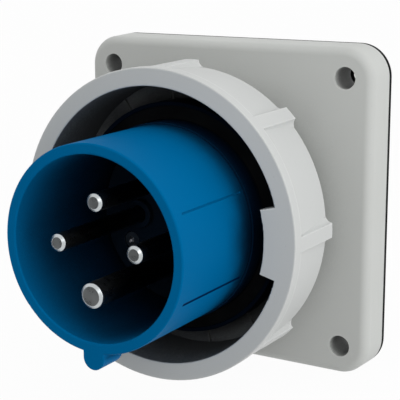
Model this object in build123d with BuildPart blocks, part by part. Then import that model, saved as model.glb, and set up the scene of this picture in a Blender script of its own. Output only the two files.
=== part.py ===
from build123d import *
from math import cos, radians, sin
import os

# Pin and sleeve inlet with a bayonet ring: panel flange, shroud, four turned pins.
# The origin is the centre of the mounting plane, on the axis of the pins, in millimetres.
# -Y points out of the mouth and +Z is up. A name that ends in _d is a distance forward of
# the mounting plane, and angles run from +X towards +Z, as seen from the front.

# Clearances
body_gap = 0.3
fit_gap = 0.1
seal_gap = 0.2

# Panel flange
flange_size = 98.0
flange_front_d = 12.6
flange_corner_r = 9.5
flange_draft = 2.2
flange_edge_r = 2.5
flange_wall = 2.8
flange_face_t = 3.0
flange_rib_t = 1.8
mount_inset = 9.0
mount_hole_r = 3.2
mount_boss_wall = 3.0
panel_gasket_t = 1.6
panel_gasket_land = 1.8

# Shroud: the sleeve, its key and its root flange
mouth_d = 81.1
shroud_r = 28.25
shroud_wall = 2.95
shroud_rim_r = 0.5
root_front_d = 39.5
root_t = 7.6
root_rim_w = 1.15
collar_h = 0.45
collar_l = 6.0
key_h = 4.65
key_w = 6.5
key_length = 11.0
groove_angle = 25.1
groove_w = 0.5
groove_depth = 0.3
groove_front_inset = 3.9
groove_back_inset = 2.1

# Face gasket in the root flange, which the mating connector's rim presses on
gasket_recess_w = 4.0
gasket_recess_depth = 2.7
gasket_below_rim = 0.3

# Bayonet ring
ring_length = 22.0
ring_bore_r = 39.6
ring_bore_draft = 0.3
ring_wall = 5.15
ring_taper = 1.75
ring_band = 3.5
ring_band_step = 0.45
ring_edge_r = 0.4
ring_web_t = 1.6
ring_web_overlap = 2.25
grip_count = 8
grip_h = 2.0
grip_top_w = 4.2
grip_foot_w = 7.0
lug_h = 4.5
lug_span = 29.2
lug_depth = 5.5
lug_ramp = 2.0
lug_edge_r = 0.3
tab_count = 4
tab_angle = 112.5
tab_span = 25.0
slit_w = 0.8
ring_travel = 45.0

# Neck that carries the ring and the shroud
neck_bead_h = 1.8
neck_bead_l = 2.0
neck_back_step = 0.6
neck_wall = 2.2
seat_t = 5.0
stop_h = 1.5
stop_span = 6.0
stop_gap = 0.5
seal_groove_w = 1.2
seal_groove_depth = 0.9
seal_groove_land = 0.9

# Contact carrier and the terminal block behind it
carrier_seal_t = 1.1
carrier_rim_t = 6.0
carrier_t = 14.0
carrier_step = 3.0
boss_h = 2.0
boss_wall = 1.65
post_r = 3.2
post_inset = 0.9
post_angle = 28.5
post_length = 8.9
block_t = 4.0
barrier_l = 14.0
block_hub_r = 3.6
block_hub_depth = 7.0
barrier_t = 1.6
barrier_inset = 0.5

# Pins and terminals
pin_circle_r = 12.33
phase_pin_r = 2.5
earth_pin_r = 3.5
phase_tip_inset = 1.5
earth_lead = 2.1
pin_nose_l = 0.65
pin_nose_w = 0.85
pin_nose_r = 0.3
pin_neck_step = 0.2
barrel_step = 1.8
barrel_cover = 5.0
barrel_l = 26.0
barrel_shoulder = 0.4
barrel_wall = 1.5
wire_hole_depth = 12.5
terminal_screw_inset = 5.0
phase_screw_r = 1.9
earth_screw_r = 2.3
terminal_head_wall = 1.1
terminal_head_h = 2.2
terminal_head_lift = 1.3
plate_t = 0.7
plate_w = 3.0
plate_l = 8.0
plate_inset = 0.7

# Fixing screws
screw_r = 1.3
screw_head_r = 2.4
screw_head_h = 2.0
screw_grip = 5.5
screw_pilot_spare = 0.6
shroud_screw_inset = 2.0
recess_w = 0.7
recess_l = 2.6
recess_depth = 1.0

# Places that follow from the sizes above
mount_pitch = flange_size - 2 * mount_inset
root_back_d = root_front_d - root_t
collar_front_d = root_front_d + collar_l
groove_front_d = mouth_d - groove_front_inset
groove_back_d = collar_front_d + groove_back_inset
shroud_bore_r = shroud_r - shroud_wall
collar_r = shroud_r + collar_h
recess_r = collar_r + gasket_recess_w
root_r = recess_r + root_rim_w
recess_floor_d = root_front_d - gasket_recess_depth
web_front_d = root_back_d - body_gap
ring_back_d = web_front_d - ring_web_t
ring_front_d = ring_back_d + ring_length
ring_front_r = ring_bore_r + ring_wall
ring_back_r = ring_front_r - ring_taper
band_back_r = ring_front_r - ring_band_step
grip_r = ring_back_r + grip_h
neck_r = root_r - ring_web_overlap
bead_front_d = ring_back_d - body_gap
neck_back_r = neck_r + neck_back_step
neck_bore_r = neck_back_r - neck_wall
seat_back_d = root_back_d - seat_t
seat_bore_r = shroud_bore_r - carrier_step
seal_groove_r = neck_r - seal_groove_land
shroud_screw_circle_r = shroud_bore_r + shroud_screw_inset
rim_back_d = root_back_d + carrier_seal_t
carrier_front_d = rim_back_d + carrier_rim_t
carrier_back_d = carrier_front_d - carrier_t
boss_front_d = carrier_front_d + boss_h
post_back_d = root_back_d - post_length
post_circle_r = seat_bore_r - post_inset - post_r
insert_r = seat_bore_r - body_gap
block_plate_back_d = carrier_back_d - block_t
block_back_d = block_plate_back_d - barrier_l
block_hub_back_d = block_back_d + block_hub_depth
phase_tip_d = mouth_d - phase_tip_inset
earth_tip_d = phase_tip_d + earth_lead
neck_front_d = boss_front_d + body_gap
barrel_front_d = carrier_front_d - barrel_cover
barrel_back_d = barrel_front_d - barrel_l
terminal_screw_d = barrel_back_d + terminal_screw_inset

phase_angles = {"pin_l1": 180, "pin_l2": 90, "pin_l3": 0}
earth_angle = 270
pin_sizes = [(angle, phase_pin_r) for angle in phase_angles.values()] + [(earth_angle, earth_pin_r)]


def level(d):
    """Plane across the axis, d in front of the mounting plane, facing the mouth."""
    return Plane.XZ.offset(d)


def radial_plane(angle):
    """Plane through the axis of the pin at this angle: x runs outwards, y runs backwards."""
    out = Vector(cos(radians(angle)), 0, sin(radians(angle)))
    return Plane(origin=out * pin_circle_r, x_dir=out, z_dir=out.cross(Vector(0, 1, 0)))


def outward_plane(angle, distance):
    """Plane that faces outwards, this distance from the axis of the pin at this angle."""
    out = Vector(cos(radians(angle)), 0, sin(radians(angle)))
    centre = out * (pin_circle_r + distance) - Vector(0, terminal_screw_d, 0)
    return Plane(origin=centre, x_dir=(0, 1, 0), z_dir=out)


def ring_sector(inner_r, outer_r, middle, span):
    """Flat sector of a ring, centred on the angle middle."""
    with BuildSketch() as sector:
        with BuildLine():
            inner = CenterArc((0, 0), inner_r, middle - span / 2, span)
            outer = CenterArc((0, 0), outer_r, middle - span / 2, span)
            Line(inner @ 0, outer @ 0)
            Line(inner @ 1, outer @ 1)
        make_face()
    return sector.sketch


def barrel_r(pin_r):
    return pin_r + barrel_step


def terminal_r(pin_r):
    return barrel_r(pin_r) - barrel_shoulder


def wire_hole_r(pin_r):
    return terminal_r(pin_r) - barrel_wall


def write(piece, name):
    piece.part.label = name
    export_step(piece.part, f"parts/{name}.step")


os.makedirs("parts", exist_ok=True)

# Flange housing: a hollow square plate with drafted sides, and the neck that carries ring, shroud and insert
with BuildPart() as flange_housing:
    with BuildSketch(level(panel_gasket_t)):
        RectangleRounded(flange_size, flange_size, flange_corner_r)
    extrude(amount=flange_front_d - panel_gasket_t, taper=flange_draft)
    fillet(flange_housing.faces().sort_by(Axis.Y)[0].edges(), radius=flange_edge_r)

    with BuildSketch(level(panel_gasket_t)):
        inner_size = flange_size - 2 * flange_wall
        RectangleRounded(inner_size, inner_size, flange_corner_r - flange_wall)
        with GridLocations(mount_pitch, mount_pitch, 2, 2):
            Circle(mount_hole_r + mount_boss_wall, mode=Mode.SUBTRACT)
        for angle in (0, 45, 90, 135):
            Rectangle(2 * flange_size, flange_rib_t, rotation=angle, mode=Mode.SUBTRACT)
    extrude(amount=flange_front_d - flange_face_t - panel_gasket_t, mode=Mode.SUBTRACT)
    with BuildSketch(level(panel_gasket_t)):
        Circle(neck_bore_r)
    extrude(amount=flange_front_d - panel_gasket_t, mode=Mode.SUBTRACT)

    with BuildSketch(Plane.XY):
        with BuildLine():
            Polyline(
                (neck_bore_r, -panel_gasket_t),
                (neck_back_r, -panel_gasket_t),
                (neck_back_r, -bead_front_d + neck_bead_l),
                (neck_r + neck_bead_h, -bead_front_d + neck_bead_l),
                (neck_r + neck_bead_h, -bead_front_d),
                (neck_r, -bead_front_d),
                (neck_r, -root_back_d),
                (seal_groove_r, -root_back_d),
                (seal_groove_r, -root_back_d + seal_groove_depth),
                (seal_groove_r - seal_groove_w, -root_back_d + seal_groove_depth),
                (seal_groove_r - seal_groove_w, -root_back_d),
                (seat_bore_r, -root_back_d),
                (seat_bore_r, -seat_back_d),
                (neck_bore_r, -seat_back_d),
                close=True,
            )
        make_face()
    revolve(axis=Axis.Y)

    # Stops for the ring, standing out of the neck in the plane of the ring's web
    with BuildSketch(level(bead_front_d)):
        for angle in (90, 270):
            add(ring_sector(seal_groove_r, neck_r + stop_h, angle, stop_span))
    extrude(amount=root_back_d - bead_front_d)

    # Posts that take the carrier's screws
    with BuildSketch(level(post_back_d)):
        with PolarLocations((post_circle_r + seat_bore_r) / 2, 2, start_angle=post_angle):
            SlotCenterToCenter(seat_bore_r - post_circle_r, 2 * post_r)
    extrude(amount=root_back_d - post_back_d)
    with BuildSketch(level(root_back_d)):
        with PolarLocations(post_circle_r, 2, start_angle=post_angle):
            Circle(post_r)
    extrude(amount=carrier_seal_t)
    with Locations(level(rim_back_d)):
        with PolarLocations(post_circle_r, 2, start_angle=post_angle):
            Hole(screw_r + fit_gap)

    with Locations(level(root_back_d)):
        with PolarLocations(shroud_screw_circle_r, 4, start_angle=45):
            Hole(screw_r + seal_gap, depth=seat_t)
    with Locations(level(flange_front_d)):
        with GridLocations(mount_pitch, mount_pitch, 2, 2):
            Hole(mount_hole_r)
write(flange_housing, "flange_housing")

# Panel gasket under the flange
with BuildPart() as panel_gasket:
    with BuildSketch(level(0)):
        RectangleRounded(flange_size, flange_size, flange_corner_r)
        Circle(neck_back_r + panel_gasket_land, mode=Mode.SUBTRACT)
        with GridLocations(mount_pitch, mount_pitch, 2, 2):
            Circle(mount_hole_r, mode=Mode.SUBTRACT)
    extrude(amount=panel_gasket_t)
write(panel_gasket, "panel_gasket")

# Shroud: a plain sleeve with a rounded mouth, a root collar and a flange with a gasket recess
with BuildPart() as shroud:
    with BuildSketch(Plane.XY) as shroud_profile:
        with BuildLine():
            Polyline(
                (shroud_bore_r, -root_back_d),
                (root_r, -root_back_d),
                (root_r, -root_front_d),
                (recess_r, -root_front_d),
                (recess_r, -recess_floor_d),
                (collar_r, -recess_floor_d),
                (collar_r, -collar_front_d),
                (shroud_r, -collar_front_d),
                (shroud_r, -mouth_d),
                (shroud_bore_r, -mouth_d),
                close=True,
            )
        make_face()
        fillet(shroud_profile.vertices().group_by(Axis.Y)[0], radius=shroud_rim_r)
    revolve(axis=Axis.Y)

    # Key under the mouth: a round-topped ridge with a ball end
    key_r = key_w / 2
    key_axis_z = key_r - shroud_r - key_h
    key_end_d = mouth_d - key_length + key_r
    with BuildSketch(level(key_end_d)):
        with Locations((0, key_axis_z)):
            Circle(key_r)
    extrude(amount=mouth_d - key_end_d)
    with Locations((0, -key_end_d, key_axis_z)):
        Sphere(key_r)
    with BuildSketch(Plane.XY.offset(key_axis_z)):
        with Locations((0, -(mouth_d + key_end_d) / 2)):
            Rectangle(key_w, mouth_d - key_end_d)
        with Locations((0, -key_end_d)):
            Circle(key_r)
    extrude(amount=-key_axis_z - shroud_bore_r - shroud_wall / 2)

    # Two fine grooves along the side of the sleeve
    with BuildSketch(level(groove_back_d)):
        with PolarLocations(shroud_r, 2, start_angle=-groove_angle, angular_range=2 * groove_angle, endpoint=True):
            Rectangle(2 * groove_depth, groove_w)
    extrude(amount=groove_front_d - groove_back_d, mode=Mode.SUBTRACT)

    with Locations(level(root_back_d).rotated((0, 180, 0))):
        with PolarLocations(shroud_screw_circle_r, 4, start_angle=45):
            Hole(screw_r + fit_gap, depth=screw_grip + screw_pilot_spare)
write(shroud, "shroud")

# Screws that hold the shroud on the neck, driven from behind
with BuildPart() as shroud_screws:
    with BuildSketch(level(seat_back_d)):
        with PolarLocations(shroud_screw_circle_r, 4, start_angle=45):
            Circle(screw_r)
    extrude(amount=seat_t + screw_grip)
    with BuildSketch(level(seat_back_d)):
        with PolarLocations(shroud_screw_circle_r, 4, start_angle=45):
            Circle(screw_head_r)
    extrude(amount=-screw_head_h)
    with BuildSketch(level(seat_back_d - screw_head_h)):
        with PolarLocations(shroud_screw_circle_r, 4, start_angle=45):
            Rectangle(recess_l, recess_w)
            Rectangle(recess_w, recess_l)
    extrude(amount=recess_depth, mode=Mode.SUBTRACT)
write(shroud_screws, "shroud_screws")

# Ring seal in the neck's groove, pressed by the shroud's flange
with BuildPart() as shroud_seal:
    with BuildSketch(level(root_back_d)):
        Circle(seal_groove_r - fit_gap)
        Circle(seal_groove_r - seal_groove_w + fit_gap, mode=Mode.SUBTRACT)
    extrude(amount=-seal_groove_depth)
write(shroud_seal, "shroud_seal")

# Face gasket in the recess of the shroud's flange
with BuildPart() as face_gasket:
    with BuildSketch(level(recess_floor_d)):
        Circle(recess_r - fit_gap)
        Circle(collar_r + seal_gap, mode=Mode.SUBTRACT)
    extrude(amount=gasket_recess_depth - gasket_below_rim)
write(face_gasket, "face_gasket")

# Grip ribs of the ring: steep at the crest, with a hollow flank that runs out into the ring's wall,
# and cut back to a cone that starts flush with the band
with BuildSketch() as rib_section:
    with BuildLine():
        Polyline((ring_bore_r + 1, 0), (ring_bore_r + 1, grip_foot_w / 2), (ring_back_r, grip_foot_w / 2))
        TangentArc((grip_r, grip_top_w / 2), (ring_back_r, grip_foot_w / 2), tangent=(-1, 0))
        Polyline((grip_r, grip_top_w / 2), (grip_r + 1, grip_top_w / 2), (grip_r + 1, 0))
        mirror(about=Plane.XZ)
    make_face()
with BuildPart() as grip_ribs:
    with BuildSketch(level(ring_back_d)):
        with PolarLocations(0, grip_count):
            add(rib_section.sketch)
    extrude(amount=ring_length - ring_band)
    with BuildSketch(Plane.XY):
        with BuildLine():
            Polyline(
                (ring_bore_r + 1, -ring_back_d),
                (grip_r, -ring_back_d),
                (ring_front_r, -ring_front_d + ring_band),
                (ring_bore_r + 1, -ring_front_d + ring_band),
                close=True,
            )
        make_face()
    revolve(axis=Axis.Y, mode=Mode.INTERSECT)

# Cam lugs inside the front of the ring: bevelled behind, to ride up a ramp, and rounded in front
with BuildPart() as cam_lugs:
    with BuildSketch(level(ring_front_d - lug_depth)):
        for angle in (0, 180):
            add(ring_sector(ring_bore_r - lug_h, ring_bore_r + ring_edge_r, angle, lug_span))
    extrude(amount=lug_depth)
    chamfer(cam_lugs.edges().group_by(Axis.Y)[-1].filter_by(GeomType.LINE), length=lug_ramp)
    front_edges = cam_lugs.edges().group_by(Axis.Y)[0]
    inner_arcs = front_edges.filter_by(GeomType.CIRCLE).sort_by(SortBy.LENGTH)[:2]
    fillet(inner_arcs + front_edges.filter_by(GeomType.LINE), radius=lug_edge_r)

# Bayonet ring: front band, tapered wall, cam lugs in front, snap web behind
with BuildPart() as bayonet_ring:
    with BuildSketch(Plane.XY) as ring_profile:
        with BuildLine():
            Polyline(
                (neck_r + body_gap, -ring_back_d),
                (ring_back_r, -ring_back_d),
                (band_back_r, -ring_front_d + ring_band),
                (ring_front_r, -ring_front_d + ring_band),
                (ring_front_r, -ring_front_d),
                (ring_bore_r, -ring_front_d),
                (ring_bore_r - ring_bore_draft, -web_front_d),
                (neck_r + body_gap, -web_front_d),
                close=True,
            )
        make_face()
        fillet(ring_profile.vertices().group_by(Axis.Y)[0], radius=ring_edge_r)
    revolve(axis=Axis.Y)
    add(grip_ribs.part)
    add(cam_lugs.part)

    # Slits that free the snap tabs, and the notches that the neck's stops run in
    with BuildSketch(level(ring_back_d)):
        for tab in range(tab_count):
            for side in (-1, 1):
                angle = tab_angle + tab * 360 / tab_count + side * tab_span / 2
                slit_length = ring_bore_r - ring_bore_draft - neck_r
                with PolarLocations(neck_r + slit_length / 2, 1, start_angle=angle):
                    Rectangle(slit_length, slit_w)
        for angle in (90, 270):
            notch_span = ring_travel + stop_span + 2 * stop_gap
            add(ring_sector(neck_r - stop_h, neck_r + stop_h + body_gap, angle - ring_travel / 2, notch_span))
    extrude(amount=ring_web_t, mode=Mode.SUBTRACT)
write(bayonet_ring, "bayonet_ring")

# Contact carrier: insulating disc with bosses round the pins, bored for the barrels behind
with BuildPart() as contact_carrier:
    with BuildSketch(level(rim_back_d)):
        Circle(shroud_bore_r - seal_gap)
    extrude(amount=carrier_front_d - rim_back_d)
    with BuildSketch(level(carrier_back_d)):
        Circle(insert_r)
        with PolarLocations((post_circle_r + shroud_bore_r) / 2, 2, start_angle=post_angle):
            SlotCenterToCenter(shroud_bore_r - post_circle_r, 2 * (post_r + body_gap), mode=Mode.SUBTRACT)
    extrude(amount=rim_back_d - carrier_back_d)
    for angle, pin_r in pin_sizes:
        with BuildSketch(level(carrier_front_d)):
            with PolarLocations(pin_circle_r, 1, start_angle=angle):
                Circle(pin_r + boss_wall)
        extrude(amount=boss_h)
        with BuildSketch(level(barrel_front_d)):
            with PolarLocations(pin_circle_r, 1, start_angle=angle):
                Circle(pin_r + fit_gap)
        extrude(amount=boss_front_d - barrel_front_d, mode=Mode.SUBTRACT)
        with BuildSketch(level(carrier_back_d)):
            with PolarLocations(pin_circle_r, 1, start_angle=angle):
                Circle(barrel_r(pin_r) + fit_gap)
        extrude(amount=barrel_front_d - carrier_back_d, mode=Mode.SUBTRACT)
    with Locations(level(carrier_front_d)):
        with PolarLocations(post_circle_r, 2, start_angle=post_angle):
            CounterBoreHole(screw_r + seal_gap, screw_head_r + body_gap, screw_head_h + seal_gap)
    with Locations(level(carrier_back_d).rotated((0, 180, 0))):
        Hole(screw_r + fit_gap, depth=screw_grip + screw_pilot_spare)
write(contact_carrier, "contact_carrier")

# Flat seal between the carrier's rim and the neck
with BuildPart() as carrier_seal:
    with BuildSketch(level(root_back_d)):
        Circle(shroud_bore_r - seal_gap)
        Circle(seat_bore_r + seal_gap, mode=Mode.SUBTRACT)
    extrude(amount=carrier_seal_t)
write(carrier_seal, "carrier_seal")

# Screws that hold the carrier on the neck's posts
with BuildPart() as carrier_screws:
    head_seat_d = carrier_front_d - screw_head_h - seal_gap
    with BuildSketch(level(post_back_d)):
        with PolarLocations(post_circle_r, 2, start_angle=post_angle):
            Circle(screw_r)
    extrude(amount=head_seat_d - post_back_d)
    with BuildSketch(level(head_seat_d)):
        with PolarLocations(post_circle_r, 2, start_angle=post_angle):
            Circle(screw_head_r)
    extrude(amount=screw_head_h)
    with BuildSketch(level(head_seat_d + screw_head_h)):
        with PolarLocations(post_circle_r, 2, start_angle=post_angle):
            Rectangle(recess_l, recess_w)
            Rectangle(recess_w, recess_l)
    extrude(amount=-recess_depth, mode=Mode.SUBTRACT)
write(carrier_screws, "carrier_screws")

# Terminal block: a plate that traps the barrels, with a barrier between each two terminals
with BuildPart() as terminal_block:
    with BuildSketch(level(block_plate_back_d)):
        Circle(insert_r)
        with PolarLocations((post_circle_r + shroud_bore_r) / 2, 2, start_angle=post_angle):
            SlotCenterToCenter(shroud_bore_r - post_circle_r, 2 * (post_r + body_gap), mode=Mode.SUBTRACT)
        for angle, pin_r in pin_sizes:
            with PolarLocations(pin_circle_r, 1, start_angle=angle):
                Circle(terminal_r(pin_r) + fit_gap, mode=Mode.SUBTRACT)
    extrude(amount=block_t)
    with BuildSketch(level(block_back_d)):
        for angle in (45, 135):
            Rectangle(2 * (insert_r - barrier_inset), barrier_t, rotation=angle)
        Circle(block_hub_r)
    extrude(amount=block_plate_back_d - block_back_d)
    with BuildSketch(level(block_back_d)):
        Circle(block_hub_r)
    extrude(amount=block_hub_back_d - block_back_d, mode=Mode.SUBTRACT)
    with Locations(level(carrier_back_d)):
        Hole(screw_r + seal_gap)
write(terminal_block, "terminal_block")

# Screw that clamps the terminal block to the carrier
with BuildPart() as block_screw:
    with BuildSketch(level(block_hub_back_d)):
        Circle(screw_r)
    extrude(amount=carrier_back_d + screw_grip - block_hub_back_d)
    with BuildSketch(level(block_hub_back_d)):
        Circle(screw_head_r)
    extrude(amount=-screw_head_h)
    with BuildSketch(level(block_hub_back_d - screw_head_h)):
        Rectangle(recess_l, recess_w)
        Rectangle(recess_w, recess_l)
    extrude(amount=recess_depth, mode=Mode.SUBTRACT)
write(block_screw, "block_screw")


def turned_pin(angle, pin_r, tip_d, thread_r):
    """Contact pin turned from one bar: rounded nose, shaft, neck, barrel, bored and cross-drilled terminal."""
    hole_end_d = barrel_back_d + wire_hole_depth
    with BuildPart() as pin:
        with BuildSketch(radial_plane(angle)):
            with BuildLine():
                Polyline(
                    (0, -tip_d),
                    (pin_r - pin_nose_w, -tip_d),
                    (pin_r, -tip_d + pin_nose_l),
                    (pin_r, -neck_front_d),
                    (pin_r - pin_neck_step, -neck_front_d),
                    (pin_r - pin_neck_step, -barrel_front_d),
                    (barrel_r(pin_r), -barrel_front_d),
                    (barrel_r(pin_r), -carrier_back_d),
                    (terminal_r(pin_r), -carrier_back_d),
                    (terminal_r(pin_r), -barrel_back_d),
                    (wire_hole_r(pin_r), -barrel_back_d),
                    (wire_hole_r(pin_r), -hole_end_d),
                    (0, -hole_end_d - wire_hole_r(pin_r) / 2),
                    close=True,
                )
            make_face()
        revolve(axis=Axis(radial_plane(angle).origin, (0, 1, 0)))
        fillet(pin.edges().filter_by(GeomType.CIRCLE).sort_by(Axis.Y)[:2], radius=pin_nose_r)
        with BuildSketch(outward_plane(angle, 0)):
            Circle(thread_r + fit_gap)
        extrude(amount=barrel_r(pin_r), mode=Mode.SUBTRACT)
    return pin


for name, angle in phase_angles.items():
    write(turned_pin(angle, phase_pin_r, phase_tip_d, phase_screw_r), name)
write(turned_pin(earth_angle, earth_pin_r, earth_tip_d, earth_screw_r), "pin_earth")


def terminal_screw_set(angles, pin_r, thread_r):
    """Slotted screws that stand out of the terminals at these angles."""
    tip = wire_hole_r(pin_r) - plate_inset
    under_head = terminal_r(pin_r) + terminal_head_lift
    with BuildPart() as screws:
        for angle in angles:
            with BuildSketch(outward_plane(angle, tip)):
                Circle(thread_r)
            extrude(amount=under_head - tip)
            with BuildSketch(outward_plane(angle, under_head)):
                Circle(thread_r + terminal_head_wall)
            extrude(amount=terminal_head_h)
            with BuildSketch(outward_plane(angle, under_head + terminal_head_h)):
                Rectangle(recess_w, 2 * (thread_r + terminal_head_wall))
            extrude(amount=-recess_depth, mode=Mode.SUBTRACT)
    return screws


def clamp_plate_set(angles, pin_r):
    """Flat plates under the terminal screws, which press on the wire."""
    with BuildPart() as plates:
        for angle in angles:
            with BuildSketch(outward_plane(angle, wire_hole_r(pin_r) - plate_inset)):
                Rectangle(plate_l, plate_w)
            extrude(amount=-plate_t)
    return plates


write(terminal_screw_set(phase_angles.values(), phase_pin_r, phase_screw_r), "phase_terminal_screws")
write(terminal_screw_set([earth_angle], earth_pin_r, earth_screw_r), "earth_terminal_screw")
write(clamp_plate_set(phase_angles.values(), phase_pin_r), "phase_clamp_plates")
write(clamp_plate_set([earth_angle], earth_pin_r), "earth_clamp_plate")
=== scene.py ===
from math import cos, pi, radians, sin

import bpy
from mathutils import Matrix, Vector


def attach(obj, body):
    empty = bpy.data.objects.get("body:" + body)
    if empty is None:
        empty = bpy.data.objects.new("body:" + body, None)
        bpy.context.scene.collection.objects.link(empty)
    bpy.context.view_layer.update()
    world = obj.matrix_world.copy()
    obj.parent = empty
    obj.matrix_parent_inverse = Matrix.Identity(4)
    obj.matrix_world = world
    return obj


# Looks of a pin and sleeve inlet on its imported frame: materials, gasket lips, light, floor and camera
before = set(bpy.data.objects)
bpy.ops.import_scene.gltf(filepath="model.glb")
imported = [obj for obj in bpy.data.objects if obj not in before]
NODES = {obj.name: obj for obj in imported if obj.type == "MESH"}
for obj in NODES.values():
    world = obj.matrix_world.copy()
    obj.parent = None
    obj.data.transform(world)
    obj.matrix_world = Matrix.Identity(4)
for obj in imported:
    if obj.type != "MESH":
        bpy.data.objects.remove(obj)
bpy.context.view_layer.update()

# Places that this script shares with the CAD source, in metres. The mouth faces -Y and +Z is up.
FLANGE_HALF = 0.049
HOLE_PITCH = 0.08
HOLE_R = 0.0032
PIN_CIRCLE_R = 0.01233

# Places that the shroud's material treats apart: the plane ahead of which the sleeve has its fine grooves, a
# box round the lower groove, which gets a dark line of painted shade, and the plane behind which the gap
# round the collar is painted near black as shade
GROOVES_AHEAD_OF = -0.0465
LOWER_GROOVE = ((0.0245, -0.0772, -0.0122), (0.03, -0.0476, -0.0115))
SHADE_PAINTED_BEHIND = -0.0402
# Colours of painted shade: the dark line in and beside the lower groove, and the near black deep in the gap
GROOVE_PAINTED_SHADE = (0, 0.012, 0.075, 1)
GAP_PAINTED_SHADE = (0.003, 0.0065, 0.0147, 1)

# Lip of the gasket's rubber in a fixing hole, as radius and y
LIP_PROFILE = (
    (HOLE_R, -0.0011),
    (0.0029, -0.0009),
    (0.00262, -0.00055),
    (0.0026, -0.00035),
    (0.0028, -0.0002),
    (HOLE_R, -0.0001),
)
LIP_TURNS = 48

# The photograph's camera, solved from its circles and its square of holes
CAMERA_EYE = (0.17914, -0.32201, 0.08032)
CAMERA_AZIMUTH = 31.2
CAMERA_ELEVATION = 12.635
CAMERA_ROLL = -0.27
CAMERA_LENS = 107.13
CAMERA_NEAR = 0.01

# Room: it glows evenly, less from below. BELOW_FADE is the height of a direction, from -1 straight down to 1
# straight up, where the lower glow ends and where the full glow begins.
WHITE = 1.0
ROOM_GLOW = 0.79
BELOW_GLOW = 0.6
BELOW_FADE = (-0.6, 0.1)

# Dim cone in front of the object: its glow, its azimuth and elevation, and its half angles, all in degrees
FRONT_GLOW = 0.06
FRONT_AIM = (-14, -5)
FRONT_CORE = 30
FRONT_EDGE = 43

# Lamps: name, azimuth, elevation, distance, size and the level that each gives a surface that faces it
LAMP_TARGET = Vector((0, -0.03, 0))
LAMPS = (
    ("key_side", 80, 8, 0.45, 0.35, 0.14),
    ("key_front", 38, 26, 0.32, 0.15, 0.15),
)

# Floor: its side and how far it lies under the flange, in metres, its grey and its roughness, and the share
# of plain white in what the camera sees of it
FLOOR_SIZE = 6
FLOOR_BELOW = 0.0002
FLOOR_GREY = (0.8, 0.8, 0.8, 1)
FLOOR_ROUGHNESS = 0.9
FLOOR_WHITE_SHARE = 0.96

# Patterns: a noise's scale in cells per metre, its detail and roughness, and the levels that are stretched
FLOW_MARKS = (38, 4, 0.5, 0.35, 0.65)
CLOUDS = (9, 2, 0.5, 0.3, 0.7)
SPECKS = (1900, 1, 0.5, 0.72, 0.8)
SMUDGES = (60, 5, 0.6, 0.3, 0.7)
RUBBER_BLOOM = (120, 5, 0.5, 0.35, 0.75)
RUBBER_GLOSS = (300, 3, 0.5, 0.3, 0.7)
NICKEL_TARNISH = (420, 4, 0.5, 0.3, 0.7)
ZINC_BLOTCHES = (700, 5, 0.6, 0.35, 0.7)
ZINC_GLOSS = (1100, 3, 0.5, 0.3, 0.7)

# Grains: a noise's scale, detail and roughness, then the depth in metres and the strength
COARSE_GRAIN = (1500, 2, 0.5, 0.00004, 0.35)
FINE_GRAIN = (5200, 2, 0.6, 0.00002, 0.5)
RUBBER_PORES = (2600, 3, 0.5, 0.00005, 0.6)
TURNING_RINGS = (9000, 2, 0.5, 0.000002, 0.4)
ZINC_GRAIN = (3800, 3, 0.5, 0.00002, 0.5)

# Shelters: the reach of walls or edges in metres, the levels that are stretched, and the most that they give
# The corner darkening is dust and painted shade in creases; the shadows paint shade into the colour between
# walls
CORNER_DUST_AND_SHADE = (0.0025, 0.25, 0.8, 0.6)
# Rubbed edges are wear and a painted highlight, a lighter line along sharp edges
RUBBED_EDGES_AND_HIGHLIGHT = (0.0007, 0.1, 0.5, 0.7)
PLAIN_SHADOW = (0.025, 0.45, 0.9, 0.8)
RING_SHADOW = (0.025, 0.4, 0.75, 0.9)
SLEEVE_SHADOW = (0.06, 0.42, 0.92, 0.98)
GAP_SHADOW = (0.012, 0.15, 0.4, 0.95)
PIN_SHADOW = (0.04, 0.4, 0.75, 0.97)
FINE_GROOVE_REACH = 0.0015
SHADOW_BLACK = (0.003, 0.004, 0.006, 1)
SHELTER_SAMPLES = 8

# Moulded plastic: how much of each pattern it takes, and how they change its roughness
FLOW_STRETCH = (1, 0.35, 1)
FLOW_SHARE = 0.5
CLOUD_SHARE = 0.35
SPECK_SHARE = 0.25
# Share of the painted shade in and beside the lower groove
GROOVE_SHADE_SHARE = 0.9
SMUDGE_BELOW, SMUDGE_ABOVE = 0.05, 0.07
DUST_ROUGHNESS = 0.3

# Radius that sharp edges of plastic are rounded by, and how far a plane and a box fade out, in metres
EDGE_RADIUS = 0.0003
EDGE_SAMPLES = 4
PLANE_FADE = 0.0004
BOX_FADE = 0.0001

# Rubber, nickel and zinc
RUBBER_BLACK = (0.002, 0.0023, 0.003, 1)
RUBBER_DULL = (0.007, 0.008, 0.009, 1)
RUBBER_ROUGHNESS = (0.62, 0.8)
NICKEL = (0.52, 0.55, 0.56, 1)
# Nickel's painted shade, where walls close in round the pins
NICKEL_PAINTED_SHADE = (0.01, 0.017, 0.024, 1)
NICKEL_ROUGHNESS = (0.25, 0.33)
ZINC_LIGHT = (0.52, 0.53, 0.55, 1)
ZINC_DULL = (0.38, 0.38, 0.38, 1)
ZINC_ROUGHNESS = (0.3, 0.48)

# Sockets of a colour mix, which share their names with those for numbers
MIX_SHARE, MIX_A, MIX_B, MIX_RESULT = 0, 6, 7, 2


def direction(azimuth, elevation):
    """Unit vector away from the object: azimuth 0 is the front, -Y, and 90 is +X."""
    azimuth, elevation = radians(azimuth), radians(elevation)
    return Vector((sin(azimuth) * cos(elevation), -cos(azimuth) * cos(elevation), sin(elevation)))


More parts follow.
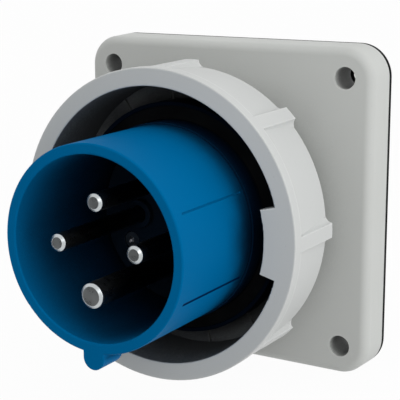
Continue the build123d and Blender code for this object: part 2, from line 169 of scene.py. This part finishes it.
class Shader:
    """A material's node tree, built one node at a time."""

    def __init__(self, name):
        self.material = bpy.data.materials.new(name)
        self.material.use_nodes = True
        self.tree = self.material.node_tree
        self.surface = self.tree.nodes["Principled BSDF"]
        self.object_space = self.add("ShaderNodeTexCoord").outputs["Object"]

    def add(self, kind, settings=None, **inputs):
        node = self.tree.nodes.new(kind)
        for name, value in (settings or {}).items():
            setattr(node, name, value)
        for name, value in inputs.items():
            self.feed(node, name.replace("_", " "), value)
        return node

    def feed(self, node, socket, value):
        if isinstance(value, bpy.types.NodeSocket):
            self.tree.links.new(value, node.inputs[socket])
        else:
            node.inputs[socket].default_value = value

    def math(self, operation, a, b=0.0):
        node = self.add("ShaderNodeMath", {"operation": operation})
        self.feed(node, 0, a)
        self.feed(node, 1, b)
        return node.outputs["Value"]

    def mix(self, share, a, b):
        """Colour a with this share of colour b."""
        node = self.add("ShaderNodeMix", {"data_type": "RGBA"})
        for socket, value in ((MIX_SHARE, share), (MIX_A, a), (MIX_B, b)):
            self.feed(node, socket, value)
        return node.outputs[MIX_RESULT]

    def fit(self, value, low, high, to_low=0.0, to_high=1.0):
        """Value stretched from one range to another, and held at its ends."""
        node = self.add("ShaderNodeMapRange", {"clamp": True}, Value=value)
        for socket, number in zip(("From Min", "From Max", "To Min", "To Max"), (low, high, to_low, to_high)):
            node.inputs[socket].default_value = number
        return node.outputs["Result"]

    def stretched(self, scales):
        """Object space scaled along its axes, for streaks."""
        return self.add("ShaderNodeMapping", Vector=self.object_space, Scale=scales).outputs["Vector"]

    def noise(self, scale, detail, roughness, space=None):
        space = space or self.object_space
        node = self.add("ShaderNodeTexNoise", Scale=scale, Detail=detail, Roughness=roughness, Vector=space)
        return node.outputs["Fac"]

    def pattern(self, kind, to_low=0.0, to_high=1.0, space=None):
        """One of the patterns named above."""
        scale, detail, roughness, low, high = kind
        return self.fit(self.noise(scale, detail, roughness, space), low, high, to_low, to_high)

    def grain(self, kind, below=None, space=None):
        """Normal with one of the grains named above, on top of the normal below it."""
        scale, detail, roughness, depth, strength = kind
        height = self.noise(scale, detail, roughness, space)
        node = self.add("ShaderNodeBump", Height=height, Distance=depth, Strength=strength)
        if below is not None:
            self.feed(node, "Normal", below)
        return node.outputs["Normal"]

    def soft_edges(self, radius):
        """Normal that rounds sharp edges by this radius."""
        return self.add("ShaderNodeBevel", {"samples": EDGE_SAMPLES}, Radius=radius).outputs["Normal"]

    def walls(self, reach, **settings):
        """How far walls within this reach shut a place in: 1 in tight corners and 0 on open faces."""
        settings["samples"] = SHELTER_SAMPLES
        node = self.add("ShaderNodeAmbientOcclusion", settings, Distance=reach)
        return self.math("SUBTRACT", 1.0, node.outputs["AO"])

    def shelter(self, kind, without=None):
        """One of the shelters named above, less the walls in without."""
        reach, low, high, most = kind
        walls = self.walls(reach)
        if without is not None:
            walls = self.math("SUBTRACT", walls, without)
        return self.fit(walls, low, high, 0, most)

    def edge_wear_and_highlight(self, kind):
        """The same for sharp outer edges, which are corners as seen from inside the solid."""
        reach, low, high, most = kind
        return self.fit(self.walls(reach, inside=True, only_local=True), low, high, 0, most)

    def ahead_of(self, y):
        """1 in front of this plane, towards the mouth, and 0 behind it."""
        place = self.add("ShaderNodeSeparateXYZ", Vector=self.object_space).outputs["Y"]
        return self.fit(place, y - PLANE_FADE, y + PLANE_FADE, 1, 0)

    def within(self, low, high):
        """1 inside a box of object space and 0 outside it."""
        inside = 1.0
        place = self.add("ShaderNodeSeparateXYZ", Vector=self.object_space).outputs
        for axis, start, end in zip("XYZ", low, high):
            inside = self.math("MULTIPLY", inside, self.fit(place[axis], start - BOX_FADE, start))
            inside = self.math("MULTIPLY", inside, self.fit(place[axis], end, end + BOX_FADE, 1, 0))
        return inside

    def finish(self, colour, roughness, normal, **constants):
        """Feeds the surface, with the shader's constants on its own sockets."""
        self.feed(self.surface, "Base Color", colour)
        self.feed(self.surface, "Roughness", roughness)
        self.feed(self.surface, "Normal", normal)
        for name, value in constants.items():
            self.feed(self.surface, name.replace("_", " "), value)
        return self.material


def moulded_plastic(
    name, colour, shade, dust_and_shade, worn_and_highlight, roughness, shadows=(PLAIN_SHADOW,), shadow_colour=SHADOW_BLACK,
    grooves_ahead_of=None, groove_shade=None, painted_shade_behind=None, **gloss
):
    """Injection-moulded plastic: faint flow marks, a spark-eroded grain, dust and painted shade in the
    corners, rubbed edges that also carry a painted highlight.

    Each of the shadows paints shade into it between walls. Fine grooves ahead of a plane are left out of
    this. A box can be given a dark colour as painted shade, and what lies behind a plane, deep between other
    parts, gets another colour as painted shade.
    """
    s = Shader(name)
    base = s.mix(s.pattern(FLOW_MARKS, 0, FLOW_SHARE, s.stretched(FLOW_STRETCH)), colour, shade)
    base = s.mix(s.pattern(CLOUDS, 0, CLOUD_SHARE), base, shade)
    base = s.mix(s.pattern(SPECKS, 0, SPECK_SHARE), base, dust_and_shade)
    # Dust and painted shade gather in corners and creases
    corner_dust_and_shade = s.shelter(CORNER_DUST_AND_SHADE)
    base = s.mix(corner_dust_and_shade, base, dust_and_shade)
    # Edges lighter, as wear and as a painted highlight
    base = s.mix(s.edge_wear_and_highlight(RUBBED_EDGES_AND_HIGHLIGHT), base, worn_and_highlight)
    fine_grooves = None
    if grooves_ahead_of is not None:
        fine_grooves = s.math("MULTIPLY", s.walls(FINE_GROOVE_REACH), s.ahead_of(grooves_ahead_of))
    for shadow in shadows:
        base = s.mix(s.shelter(shadow, fine_grooves), base, shadow_colour)
    # Painted shade: a dark line in and beside the lower groove
    if groove_shade is not None:
        box, groove_shade_colour = groove_shade
        base = s.mix(s.math("MULTIPLY", s.within(*box), GROOVE_SHADE_SHARE), base, groove_shade_colour)
    # Painted shade: near black behind the plane, deep in the gap round the collar
    if painted_shade_behind is not None:
        plane, gap_shade_colour = painted_shade_behind
        base = s.mix(s.ahead_of(plane), gap_shade_colour, base)
    normal = s.grain(FINE_GRAIN, s.grain(COARSE_GRAIN, s.soft_edges(EDGE_RADIUS)))
    smudge = s.pattern(SMUDGES, roughness - SMUDGE_BELOW, roughness + SMUDGE_ABOVE)
    rough = s.math("ADD", smudge, s.math("MULTIPLY", corner_dust_and_shade, DUST_ROUGHNESS))
    return s.finish(base, rough, normal, **gloss)


def seal_rubber(name):
    """Black rubber with a dull bloom and fine pores."""
    s = Shader(name)
    base = s.mix(s.pattern(RUBBER_BLOOM), RUBBER_BLACK, RUBBER_DULL)
    rough = s.pattern(RUBBER_GLOSS, *RUBBER_ROUGHNESS)
    return s.finish(base, rough, s.grain(RUBBER_PORES), Specular_IOR_Level=0.06)


def turned_nickel(name, x, z):
    """Plated metal turned in a lathe: rings round the axis through x and z, faint tarnish, and painted shade
    where walls close in.
    """
    s = Shader(name)
    place = s.add("ShaderNodeMapping", Vector=s.object_space, Location=(-x, 0, -z)).outputs["Vector"]
    parts = s.add("ShaderNodeSeparateXYZ", Vector=place).outputs
    radius = s.math("SQRT", s.math("ADD", *(s.math("MULTIPLY", parts[axis], parts[axis]) for axis in "XZ")))
    rings = s.add("ShaderNodeCombineXYZ", X=s.math("ADD", parts["Y"], radius)).outputs["Vector"]
    # Painted shade where walls close in
    base = s.mix(s.shelter(PIN_SHADOW), NICKEL, NICKEL_PAINTED_SHADE)
    rough = s.pattern(NICKEL_TARNISH, *NICKEL_ROUGHNESS)
    return s.finish(base, rough, s.grain(TURNING_RINGS, space=rings), Metallic=1.0)


def zinc_steel(name):
    """Zinc-plated steel: grey, faintly blotched and slightly rough."""
    s = Shader(name)
    base = s.mix(s.pattern(ZINC_BLOTCHES), ZINC_LIGHT, ZINC_DULL)
    rough = s.pattern(ZINC_GLOSS, *ZINC_ROUGHNESS)
    return s.finish(base, rough, s.grain(ZINC_GRAIN), Metallic=1.0)


HOUSING = moulded_plastic(
    "housing_plastic",
    colour=(0.65, 0.665, 0.645, 1),
    shade=(0.62, 0.635, 0.615, 1),
    dust_and_shade=(0.36, 0.36, 0.35, 1),
    worn_and_highlight=(0.74, 0.755, 0.735, 1),
    roughness=0.5,
    Specular_IOR_Level=0.15,
)
RING = moulded_plastic(
    "ring_plastic",
    colour=(0.655, 0.67, 0.662, 1),
    shade=(0.625, 0.64, 0.632, 1),
    dust_and_shade=(0.34, 0.345, 0.34, 1),
    # Its edges are lightened past wear into a painted highlight line
    worn_and_highlight=(0.88, 0.895, 0.887, 1),
    roughness=0.46,
    shadows=(RING_SHADOW,),
    Specular_IOR_Level=0.12,
)
SHROUD = moulded_plastic(
    "shroud_plastic",
    colour=(0.0, 0.144, 0.362, 1),
    shade=(0.0, 0.136, 0.342, 1),
    dust_and_shade=(0.0, 0.1, 0.26, 1),
    worn_and_highlight=(0.0, 0.16, 0.4, 1),
    roughness=0.4,
    shadows=(SLEEVE_SHADOW, GAP_SHADOW),
    shadow_colour=(0.002, 0.008, 0.022, 1),
    grooves_ahead_of=GROOVES_AHEAD_OF,
    # Painted shade: a dark line in the lower groove, and near black deep in the gap round the collar
    groove_shade=(LOWER_GROOVE, GROOVE_PAINTED_SHADE),
    painted_shade_behind=(SHADE_PAINTED_BEHIND, GAP_PAINTED_SHADE),
    Specular_IOR_Level=0.015,
    Specular_Tint=(0.1, 0.7, 1.0, 1),
)
CARRIER = moulded_plastic(
    "carrier_plastic",
    colour=(0.008, 0.022, 0.045, 1),
    shade=(0.01, 0.027, 0.052, 1),
    dust_and_shade=(0.012, 0.016, 0.02, 1),
    worn_and_highlight=(0.014, 0.03, 0.06, 1),
    roughness=0.42,
    Specular_IOR_Level=0.3,
)
BLOCK = moulded_plastic(
    "block_plastic",
    colour=(0.55, 0.55, 0.52, 1),
    shade=(0.5, 0.5, 0.47, 1),
    dust_and_shade=(0.3, 0.29, 0.27, 1),
    worn_and_highlight=(0.62, 0.62, 0.59, 1),
    roughness=0.5,
    Specular_IOR_Level=0.3,
)
RUBBER = seal_rubber("seal_rubber")
ZINC = zinc_steel("zinc_steel")

# What each node is made of. Screws and clamp plates, which aren't listed, are zinc-plated.
finishes = {
    "flange_housing": HOUSING,
    "panel_gasket": RUBBER,
    "bayonet_ring": RING,
    "shroud": SHROUD,
    "shroud_seal": RUBBER,
    "face_gasket": RUBBER,
    "contact_carrier": CARRIER,
    "carrier_seal": RUBBER,
    "terminal_block": BLOCK,
    "pin_l1": turned_nickel("nickel_pin_l1", -PIN_CIRCLE_R, 0),
    "pin_l2": turned_nickel("nickel_pin_l2", 0, PIN_CIRCLE_R),
    "pin_l3": turned_nickel("nickel_pin_l3", PIN_CIRCLE_R, 0),
    "pin_earth": turned_nickel("nickel_pin_earth", 0, -PIN_CIRCLE_R),
}
for node, object_ in NODES.items():
    object_.data.materials.clear()
    object_.data.materials.append(finishes.get(node, ZINC))


def turned_mesh(name, profile, turns, material):
    """Closed solid of revolution about the Y axis through a profile of radius and y, as one mesh."""
    mesh = bpy.data.meshes.new(name)
    points, faces = [], []
    count = len(profile)
    for turn in range(turns):
        angle = 2 * pi * turn / turns
        points += [(radius * cos(angle), y, radius * sin(angle)) for radius, y in profile]
        for i in range(count):
            after, beside = (i + 1) % count, (turn + 1) % turns * count
            faces.append((turn * count + i, turn * count + after, beside + after, beside + i))
    mesh.from_pydata(points, [], faces)
    mesh.polygons.foreach_set("use_smooth", [True] * len(faces))
    mesh.materials.append(material)
    mesh.validate()
    return mesh


# Thin lips of the gasket's rubber, which close round the fixing screws
lip = turned_mesh("gasket_lip", LIP_PROFILE, LIP_TURNS, RUBBER)
for place, (x, z) in {"ul": (-1, 1), "ur": (1, 1), "lr": (1, -1), "ll": (-1, -1)}.items():
    piece = bpy.data.objects.new(f"gasket_lip_{place}", lip)
    piece.location = (x * HOLE_PITCH / 2, 0, z * HOLE_PITCH / 2)
    bpy.context.scene.collection.objects.link(piece)
    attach(piece, "inlet")


def studio_world():
    """Pale room with a dim cone in front of the object.

    The camera and glass see plain white instead, and metal sees white walls round the cone.
    """
    world = bpy.data.worlds.new("studio")
    world.use_nodes = True
    tree = world.node_tree

    def ramp(value, low, high, from_low=0.0, from_high=1.0):
        node = tree.nodes.new("ShaderNodeMapRange")
        node.interpolation_type = "SMOOTHSTEP"
        tree.links.new(value, node.inputs["Value"])
        ends = {"From Min": from_low, "From Max": from_high, "To Min": low, "To Max": high}
        for socket, number in ends.items():
            if isinstance(number, bpy.types.NodeSocket):
                tree.links.new(number, node.inputs[socket])
            else:
                node.inputs[socket].default_value = number
        return node.outputs["Result"]

    def towards(aim):
        node = tree.nodes.new("ShaderNodeVectorMath")
        node.operation = "DOT_PRODUCT"
        node.inputs[1].default_value = aim
        tree.links.new(outwards, node.inputs[0])
        return node.outputs["Value"]

    outwards = tree.nodes.new("ShaderNodeTexCoord").outputs["Generated"]
    path = tree.nodes.new("ShaderNodeLightPath").outputs
    walls = ramp(towards((0, 0, 1)), BELOW_GLOW, ROOM_GLOW, *BELOW_FADE)
    walls = ramp(path["Is Glossy Ray"], walls, WHITE)
    edge, core = cos(radians(FRONT_EDGE)), cos(radians(FRONT_CORE))
    room = ramp(towards(direction(*FRONT_AIM)), walls, FRONT_GLOW, edge, core)
    through = ramp(path["Is Transmission Ray"], room, WHITE)
    strength = ramp(path["Is Camera Ray"], through, WHITE)
    background = tree.nodes["Background"]
    background.inputs["Color"].default_value = (1, 1, 1, 1)
    tree.links.new(strength, background.inputs["Strength"])
    bpy.context.scene.world = world


def studio_floor():
    """Pale floor under the flange, near white to the camera, that keeps the object's shadow."""
    bpy.ops.mesh.primitive_plane_add(size=FLOOR_SIZE, location=(0, 0, -FLANGE_HALF - FLOOR_BELOW))
    floor = bpy.context.object
    floor.name = "floor"
    paint = bpy.data.materials.new("floor_paint")
    paint.use_nodes = True
    nodes, links = paint.node_tree.nodes, paint.node_tree.links
    glow = nodes.new("ShaderNodeEmission")
    glow.inputs["Color"].default_value = (1, 1, 1, 1)
    matt = nodes["Principled BSDF"]
    matt.inputs["Base Color"].default_value = FLOOR_GREY
    matt.inputs["Roughness"].default_value = FLOOR_ROUGHNESS
    path = nodes.new("ShaderNodeLightPath")
    share = nodes.new("ShaderNodeMapRange")
    share.inputs["To Max"].default_value = FLOOR_WHITE_SHARE
    blend = nodes.new("ShaderNodeMixShader")
    links.new(path.outputs["Is Camera Ray"], share.inputs["Value"])
    for socket, source in enumerate((share.outputs["Result"], matt.outputs[0], glow.outputs[0])):
        links.new(source, blend.inputs[socket])
    links.new(blend.outputs[0], nodes["Material Output"].inputs["Surface"])
    floor.data.materials.append(paint)
    floor.visible_diffuse = False
    floor.visible_glossy = False
    floor.visible_shadow = False


def studio_lamps():
    """Soft boxes to the right and to the front right, which face the object."""
    for name, azimuth, elevation, distance, size, level in LAMPS:
        lamp = bpy.data.lights.new(name, "AREA")
        lamp.shape = "SQUARE"
        lamp.size = size
        lamp.energy = level * (pi * distance) ** 2
        away = direction(azimuth, elevation)
        object_ = bpy.data.objects.new(name, lamp)
        object_.location = LAMP_TARGET + away * distance
        object_.rotation_mode = "QUATERNION"
        object_.rotation_quaternion = (-away).to_track_quat("-Z", "Y")
        bpy.context.scene.collection.objects.link(object_)


def photo_camera():
    """Camera at the place that the photograph was taken from."""
    camera = bpy.data.objects.new("photo_camera", bpy.data.cameras.new("photo_camera"))
    level = (-direction(CAMERA_AZIMUTH, CAMERA_ELEVATION)).to_track_quat("-Z", "Y").to_matrix()
    camera.rotation_mode = "QUATERNION"
    camera.rotation_quaternion = (level @ Matrix.Rotation(radians(CAMERA_ROLL), 3, "Z")).to_quaternion()
    camera.location = CAMERA_EYE
    camera.data.lens = CAMERA_LENS
    camera.data.clip_start = CAMERA_NEAR
    bpy.context.scene.collection.objects.link(camera)
    bpy.context.scene.camera = camera


studio_world()
studio_floor()
studio_lamps()
photo_camera()
bpy.context.scene.view_settings.view_transform = "Standard"
